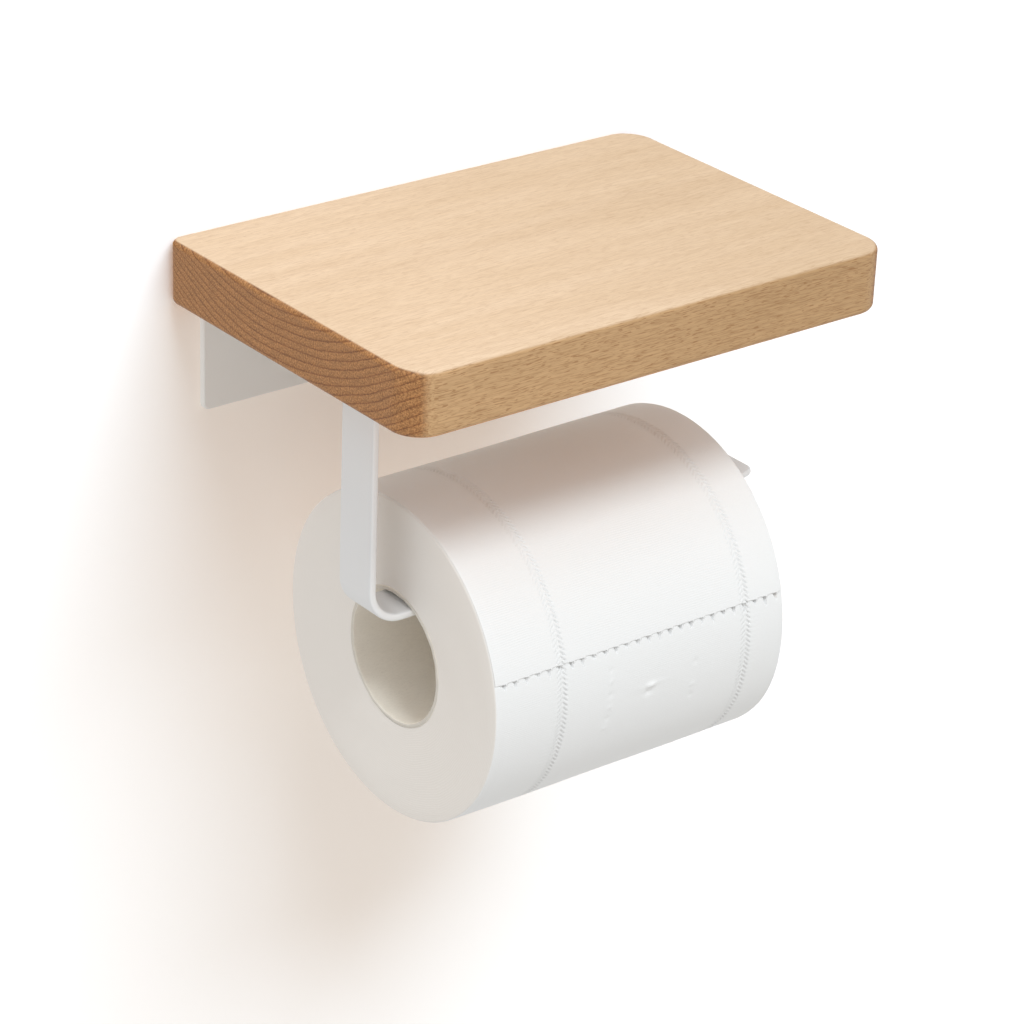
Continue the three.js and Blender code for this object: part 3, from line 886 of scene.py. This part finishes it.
def make_wound_paper(tissue, centre, bonds, steps=1000):
    """The wound tissue: bands, tear lines and marks on its side, and slightly dished ends."""
    low, high = box_mm("paper_roll")
    outer = (high[2] - low[2]) / 2
    core_low, core_high = box_mm("cardboard_core")
    bore = (core_high[2] - core_low[2]) / 2 + 0.04
    left, right = low[0] - centre[0], high[0] - centre[0]
    quarter = np.linspace(0, math.pi / 2, 5)[1:-1]
    rings = np.linspace(1, 0, 7)
    dish = 1.2 * (1 - rings) ** 1.6
    end_r = bore + (outer - SOFT_EDGE - bore) * rings
    end_fall = np.concatenate([SOFT_EDGE * (1 - np.cos(quarter)), outer - end_r])
    end_out = np.concatenate([SOFT_EDGE * (np.sin(quarter) - 1), -dish])

    plain = band_columns(left + SOFT_EDGE, right - SOFT_EDGE, 4.0, 0.34)
    at_bonds = [at + off for at, _, _ in bonds for off in (-1.9, -1.4, -0.95, -0.58, -0.28, 0.28)]
    at_marks = [mark[0] + off for mark in MOTIF for off in np.linspace(-2.1, 2.1, 8)]
    sections = []  # of the three kinds of row: plain, just past a tear line, and at the marks
    for across in (plain, with_more(plain, at_bonds), with_more(plain, at_marks)):
        x = np.concatenate([across, right + end_out, left - end_out[::-1]])
        fall = np.concatenate([0 * across, end_fall, end_fall[::-1]])
        sections.append((x, fall))
    kinds, rows = [], []
    for angle in np.linspace(0, 2 * math.pi, steps, endpoint=False):
        round_way = angle * outer
        past_tear = (round_way - math.radians(TORN_EDGE_ANGLE) * outer + 1) % SHEET_PITCH - 1
        kind = 1 if past_tear < DENTS_REACH else 2 if past_tear < MARKS_REACH else 0
        torn = abs(math.degrees(angle) - TORN_EDGE_ANGLE) < 10
        x, fall = sections[kind]
        on_side = fall == 0
        radius = outer - fall + swell(x, angle) * (1 - fall / (outer - bore)) ** 2
        radius = radius - on_side * band_emboss(x, round_way, left, right)
        radius = radius + on_side * motif(x, past_tear)
        if kind == 1:
            radius = radius - on_side * tear_dents(x, past_tear, bonds) * (1.0 if torn else 0.35)
        flutter = 0.12 * np.sin(5 * angle + 0.4 * fall) * np.clip(fall / 4, 0, 1)
        lean = 1.2 * bulge(angle, 120, 32) * np.clip(x / 55, 0, 1) ** 2
        kinds.append(kind)
        rows.append(round_roll(x + lean + flutter * np.sign(x) * ~on_side, radius, angle))
    # Numbered from left to right over the side and then on round the ends.
    ends = right + 1 + np.arange(2 * len(end_fall))
    columns = [np.append(x[:-2 * len(end_fall)], ends) for x, _ in sections]
    faces = woven(kinds, columns, wrap_rows=True, wrap_columns=True)
    paper = piece_from("wound_paper", np.concatenate(rows), faces, centre, tissue)
    finish_piece(paper, "paper_roll", "tissue", "paper", sharp_above=60.0, weighted=False)


def make_loose_sheet(tissue, centre, bonds, steps=400):
    """The last sheet: it lies on the roll, and its torn edge stands off a little at the front."""
    roll_low, roll_high = box_mm("paper_roll")
    outer = (roll_high[2] - roll_low[2]) / 2
    roll_left, roll_right = roll_low[0] - centre[0], roll_high[0] - centre[0]
    left, right = roll_left + 0.25, roll_right - 0.25
    over_edge = [left + off for off in (0.15, 0.3)] + [right - off for off in (0.15, 0.3)]
    plain = with_more(band_columns(left, right, 3.0, 0.31), over_edge)
    at_bonds = [at + off for at, _, _ in bonds for off in (-0.28, 0.0, 0.28, -2.6, -1.9, -1.25, -0.6)]
    columns = [plain, with_more(plain, at_bonds)]

    edge = math.radians(TORN_EDGE_ANGLE)
    gaps = np.append(np.linspace(SHEET_PITCH, 0.6, steps), [0.42, 0.28, 0.15, 0.06, 0.0])
    kinds, rows = [], []
    for before_edge in gaps:
        kind = 1 if before_edge < 3.5 else 0
        kinds.append(kind)
        x = columns[kind]
        angle = edge - before_edge / outer
        sunk = np.clip((1 - before_edge / SHEET_PITCH) / 0.12, 0, 1)
        lift = -0.6 + 0.84 * sunk ** 0.5 + 0.08 * math.exp(-((before_edge / 6) ** 2))
        # The edge curls down onto the roll, but stands open on the left of each bond.
        curl = 0.36 * (1 - math.sqrt(1 - max(0, 1 - before_edge / 0.5) ** 2))
        closed = 1
        for at, _, _ in bonds:
            closed = closed - 1.4 * left_of_bond(x, at, 2.6) - in_bond(x, at)
        radius = outer + lift - curl * np.clip(closed, 0, 1)
        radius = radius + swell(x, angle) - round_off(x, roll_left, roll_right)
        radius = radius - band_emboss(x, angle * outer, roll_left, roll_right)
        ragged = 0.05 * np.sin(x * 5.1) + 0.04 * np.sin(x * 11.7 + 1.3)
        rows.append(round_roll(x, radius, angle + math.exp(-before_edge / 0.8) * ragged / outer))
    points = np.concatenate(rows).tolist()
    faces = woven(kinds, columns)
    x = columns[1]
    last = len(points) - len(x)
    for at, _, _ in bonds:
        inside = np.nonzero(in_bond(x, at))[0].tolist()
        previous = [last + i for i in inside]
        for reach, drop in BOND_TABS:
            row = []
            for i in inside:
                angle = np.array(edge + reach / outer)
                radius = outer + 0.32 - drop + swell(x[i], angle)
                row.append(len(points))
                points.append(round_roll(np.array(x[i]), np.array(radius), angle).tolist())
            faces += [list(face) for face in zip(previous, previous[1:], row[1:], row)]
            previous = row
    sheet = piece_from("loose_sheet", points, faces, centre, tissue)
    thick = sheet.modifiers.new("thickness", "SOLIDIFY")
    thick.thickness = SHEET_THICKNESS * MM
    thick.offset = -1
    finish_piece(sheet, "tail_sheet", "tissue", "paper", sharp_above=60.0, weighted=False)


def round_off(x, left, right):
    """How far the roll's soft edges fall away at a place across it."""
    into = np.clip(SOFT_EDGE - np.minimum(x - left, right - x), 0, SOFT_EDGE)
    return SOFT_EDGE - np.sqrt(SOFT_EDGE ** 2 - into ** 2)


def make_core(greyboard, centre, steps=220):
    """A spirally wound tube: the edge of the inner ply shows as a shallow step."""
    low, high = box_mm("cardboard_core")
    outer = (high[2] - low[2]) / 2
    inner = outer - CORE_WALL
    left, right = low[0] - centre[0], high[0] - centre[0]
    rim = 0.3
    along_x = np.linspace(left + rim, right - rim, 110)
    x = np.concatenate([along_x, [right - rim * 0.3, right, right, right - rim],
                        [left + rim, left, left, left + rim * 0.3]])
    wall = np.concatenate([0 * along_x, [0.1, 0.35, CORE_WALL - 0.35, CORE_WALL],
                           [CORE_WALL, CORE_WALL - 0.35, 0.35, 0.1]])
    seam_pitch = 74.0
    rows = []
    for angle in np.linspace(0, 2 * math.pi, steps, endpoint=False):
        off = (x / seam_pitch - angle / (2 * math.pi)) % 1
        groove = 0.16 * np.exp(-((np.minimum(off, 1 - off) * seam_pitch / 0.7) ** 2)) * (wall == 0)
        rough = 0.05 * np.sin(9 * angle + 1.0) + 0.04 * np.sin(23 * angle)
        rows.append(round_roll(x + rough * (wall > 0) * np.sign(x), inner + wall + groove, angle))
    faces = grid_faces(steps, len(x), wrap_rows=True, wrap_columns=True)
    core = piece_from("wound_core", np.concatenate(rows), faces, centre, greyboard)
    finish_piece(core, "cardboard_core", "cardboard", "core", sharp_above=50.0, weighted=False)


# ---- stage, light and camera ----

def make_wall():
    """Seen only from in front, so that it doesn't hide the object's back or shade it."""
    s = Shader("pale_wall")
    cloud = s.noise((0.004, 0.004, 0.004), detail=2.0)
    s.set(Base_Color=s.mix(cloud, *WALL_TONES), Roughness=0.9)
    behind = s.tree.nodes.new("ShaderNodeNewGeometry").outputs["Backfacing"]
    clear = s.tree.nodes.new("ShaderNodeBsdfTransparent").outputs[0]
    shown = s.add("ShaderNodeMixShader", {0: behind, 1: s.main.outputs[0], 2: clear})
    s.tree.links.new(shown, s.tree.nodes["Material Output"].inputs[0])
    half, y = 2500.0, WALL_BEHIND
    points = [(-half, y, -FLOOR_BELOW), (half, y, -FLOOR_BELOW), (half, y, half), (-half, y, half)]
    wall = piece_from("wall", points, [(0, 1, 2, 3)], material=s.material)
    if wall.data.polygons[0].normal.y > 0:
        wall.data.flip_normals()
    for ray in ("diffuse", "glossy", "transmission", "shadow"):
        setattr(wall, "visible_" + ray, False)
    return wall


def make_floor():
    s = Shader("pale_floor")
    cloud = s.noise((0.003, 0.003, 0.003), detail=2.0)
    material = s.set(Base_Color=s.mix(cloud, *FLOOR_TONES), Roughness=0.8)
    half = 5000.0
    points = [(x * half, y * half, -FLOOR_BELOW) for x, y in ((-1, -1), (1, -1), (1, 1), (-1, 1))]
    piece_from("floor", points, [(0, 1, 2, 3)], material=material)


def make_sky():
    """Brighter overhead and on the left; low down behind, as dim and warm as the wall in shadow."""
    world = bpy.data.worlds.new("soft_room")
    bpy.context.scene.world = world
    world.use_nodes = True
    sky = Shader.__new__(Shader)
    sky.tree = world.node_tree
    x, y, z = sky.parts(sky.tree.nodes.new("ShaderNodeTexCoord").outputs["Generated"])
    color = sky.mix(sky.step(sky.math("MULTIPLY", x, -1.0), 0.1, 0.9), SKY_LOW, SKY_LEFT)
    color = sky.mix(sky.step(z, 0.15, 0.85), color, SKY_HIGH)
    behind = sky.mix(sky.step(z, 0.05, 0.5), SKY_BEHIND_LOW, SKY_BEHIND_HIGH)
    color = sky.mix(sky.step(y, 0.15, 0.75), color, behind)
    sky.tree.links.new(color, sky.tree.nodes["Background"].inputs["Color"])


def make_sun(name, towards, spread, strength, color):
    sun = bpy.data.lights.new(name, "SUN")
    sun.energy, sun.color, sun.angle = strength, color, math.radians(spread)
    lamp = bpy.data.objects.new(name, sun)
    lamp.rotation_euler = Vector(towards).to_track_quat("Z", "Y").to_euler()
    bpy.context.scene.collection.objects.link(lamp)
    return lamp


def make_light(wall):
    """The wall has a sun of its own, higher and softer than the object's."""
    make_sky()
    for name, sun, state in (("key", KEY, "EXCLUDE"), ("wall_key", WALL_KEY, "INCLUDE")):
        lamp = make_sun(name, *sun)
        lit = bpy.data.collections.new(name + "_receivers")
        lit.objects.link(wall)
        lamp.light_linking.receiver_collection = lit
        lit.collection_objects[0].light_linking.link_state = state
    bpy.context.scene.view_settings.view_transform = "Standard"


def make_camera():
    a, e = math.radians(VIEW_AZIMUTH), math.radians(VIEW_ELEVATION)
    back = Vector((math.sin(a) * math.cos(e), -math.cos(a) * math.cos(e), math.sin(e)))
    camera = bpy.data.objects.new("camera", bpy.data.cameras.new("camera"))
    camera.data.lens, camera.data.sensor_width = LENS, SENSOR
    turn = back.to_track_quat("Z", "Y") @ Matrix.Rotation(math.radians(VIEW_ROLL), 3, "Z").to_quaternion()
    camera.rotation_mode = "QUATERNION"
    camera.rotation_quaternion = turn
    camera.location = (Vector(LOOK_AT) + back * VIEW_DISTANCE) * MM
    camera.data.clip_start, camera.data.clip_end = 0.01, 50.0
    bpy.context.scene.collection.objects.link(camera)
    bpy.context.scene.camera = camera


# ---- everything ----

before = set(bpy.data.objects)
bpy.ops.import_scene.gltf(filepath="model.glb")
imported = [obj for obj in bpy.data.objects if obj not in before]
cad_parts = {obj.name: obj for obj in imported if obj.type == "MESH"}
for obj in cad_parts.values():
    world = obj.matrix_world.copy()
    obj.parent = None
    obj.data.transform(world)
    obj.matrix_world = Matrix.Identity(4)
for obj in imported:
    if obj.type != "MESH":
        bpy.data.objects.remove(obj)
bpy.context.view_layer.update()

make_camera()
make_light(make_wall())
make_floor()

bright_zinc, pale_nylon, soft_tissue = make_zinc(), make_nylon(), make_tissue()
make_shelf(make_beech())
make_bracket(make_coat("bracket_powder_coat", BRACKET_WARM_SHADE_TONES))
make_arm(make_coat("arm_powder_coat", ARM_COOL_LIGHT_TONES, ARM_FRONT_PAINTED_LIGHT))
make_screws("bracket_screw", bright_zinc, WOOD_THREAD_PITCH, "up")
make_screws("arm_screw", bright_zinc, WOOD_THREAD_PITCH, "up")
make_screws("wall_screw", bright_zinc, WALL_THREAD_PITCH, "into the wall")
make_plugs(pale_nylon)

roll_low, roll_high = box_mm("paper_roll")
roll_centre = (roll_low + roll_high) / 2
make_core(make_greyboard(), roll_centre)
tear_bonds = make_bonds(roll_centre)
make_wound_paper(soft_tissue, roll_centre, tear_bonds)
make_loose_sheet(soft_tissue, roll_centre, tear_bonds)
